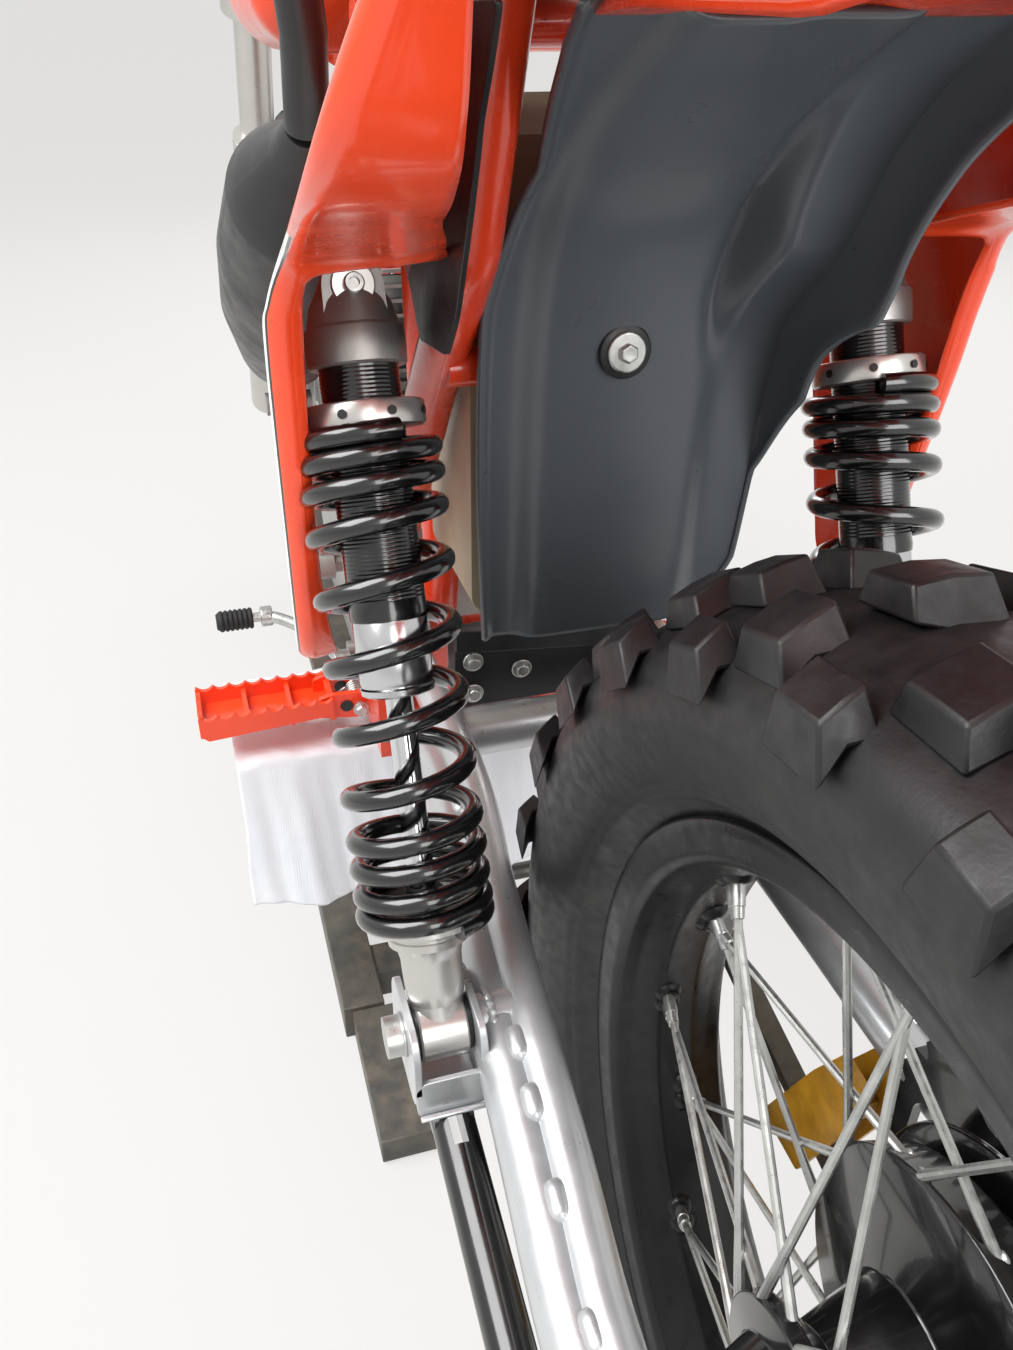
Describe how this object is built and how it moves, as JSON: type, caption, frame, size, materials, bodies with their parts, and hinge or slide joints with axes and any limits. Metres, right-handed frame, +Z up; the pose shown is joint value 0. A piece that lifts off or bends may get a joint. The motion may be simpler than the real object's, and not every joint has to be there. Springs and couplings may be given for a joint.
{
  "type": "enduro motorcycle on a lift stand",
  "caption": "Twin-shock off-road motorcycle with knobbly tyres, finned two-stroke engine and high mudguards, standing on its workshop lift stand.",
  "frame": {"origin": "on the floor under the middle of the motorcycle's bounding box", "axes": "+X forward along the motorcycle, +Y to its left, +Z up"},
  "size_m": [2.1442, 0.8284, 1.1529],
  "materials": {
    "alloy": "cast and machined alloy",
    "black_alloy": "black anodised alloy",
    "black_paint": "gloss black enamel",
    "exhaust_paint": "satin heatproof black",
    "grey_plastic": "satin moulded plastic, dark grey",
    "grip_rubber": "ribbed black rubber",
    "lamp_glass": "fluted lamp glass",
    "orange_paint": "gloss enamel, orange-red",
    "orange_plastic": "gloss moulded plastic, orange-red",
    "rag_cotton": "white cotton rag",
    "red_lens": "moulded red lens",
    "seat_vinyl": "grained black vinyl",
    "silver_paint": "silver enamel on steel tube",
    "spring_paint": "gloss black powder coat",
    "stand_paint": "worn grey-black enamel",
    "tan_plastic": "moulded plastic, tan",
    "tyre_rubber": "moulded tyre rubber",
    "yellow_plastic": "moulded plastic, amber yellow",
    "zinc_steel": "zinc plated steel"
  },
  "bodies": {
    "root": {"frame_spine": "orange_paint", "frame_cradle": "orange_paint", "frame_rear": "orange_paint", "engine_cases": "alloy", "cylinder": "alloy", "cylinder_head": "alloy", "carburettor": "alloy", "air_box": "tan_plastic", "exhaust_chamber": "exhaust_paint", "silencer": "alloy", "fuel_tank": "orange_plastic", "seat": "seat_vinyl", "side_panel_left": "orange_plastic", "side_panel_right": "orange_plastic", "inner_mudguard": "grey_plastic", "rear_mudguard": "orange_plastic", "tail_lamp": "red_lens", "swingarm_left": "silver_paint", "swingarm_right": "silver_paint", "swingarm_cross": "silver_paint", "shock_left": "alloy", "shock_right": "alloy", "shock_bolt_left": "zinc_steel", "shock_bolt_right": "zinc_steel", "spring_left": "spring_paint", "spring_right": "spring_paint", "chain": "zinc_steel", "chain_guide": "yellow_plastic", "footpeg_left": "orange_paint", "footpeg_right": "orange_paint", "gear_lever": "zinc_steel", "kick_lever": "zinc_steel", "brake_pedal": "zinc_steel", "rear_axle": "zinc_steel", "stand_base": "stand_paint", "stand_links": "stand_paint", "stand_deck": "stand_paint", "stand_lever": "stand_paint", "stand_damper": "black_paint", "stand_cloth": "rag_cotton"},
    "steering": {"yokes": "alloy", "fork_left": "alloy", "fork_right": "alloy", "handlebar": "black_paint", "control_left": "grip_rubber", "control_right": "grip_rubber", "front_mudguard": "orange_plastic", "headlamp_cowl": "orange_plastic", "headlamp": "lamp_glass", "front_axle": "zinc_steel", "front_brake_plate": "alloy"},
    "front_wheel": {"front_tyre": "tyre_rubber", "front_rim": "black_alloy", "front_hub": "alloy"},
    "rear_wheel": {"rear_tyre": "tyre_rubber", "rear_rim": "black_alloy", "rear_hub": "zinc_steel", "sprocket": "black_paint"},
    "side_stand": {"side_stand": "black_paint"}
  },
  "joints": [
    {"name": "steering", "type": "hinge", "parent": "root", "child": "steering", "pos_m": [0.34849, 0, 0.93772], "axis": [-0.4848, 0, 0.8746], "range_deg": [-42, 42]},
    {"name": "front_wheel_spin", "type": "hinge", "parent": "steering", "child": "front_wheel", "pos_m": [0.7225, 0, 0.395], "axis": [0, 1, 0], "continuous": true},
    {"name": "rear_wheel_spin", "type": "hinge", "parent": "root", "child": "rear_wheel", "pos_m": [-0.7275, 0, 0.39], "axis": [0, 1, 0], "continuous": true},
    {"name": "side_stand_fold", "type": "hinge", "parent": "root", "child": "side_stand", "pos_m": [-0.5315, 0.14, 0.361], "axis": [0, -1, 0], "range_deg": [0, 90]}
  ]
}
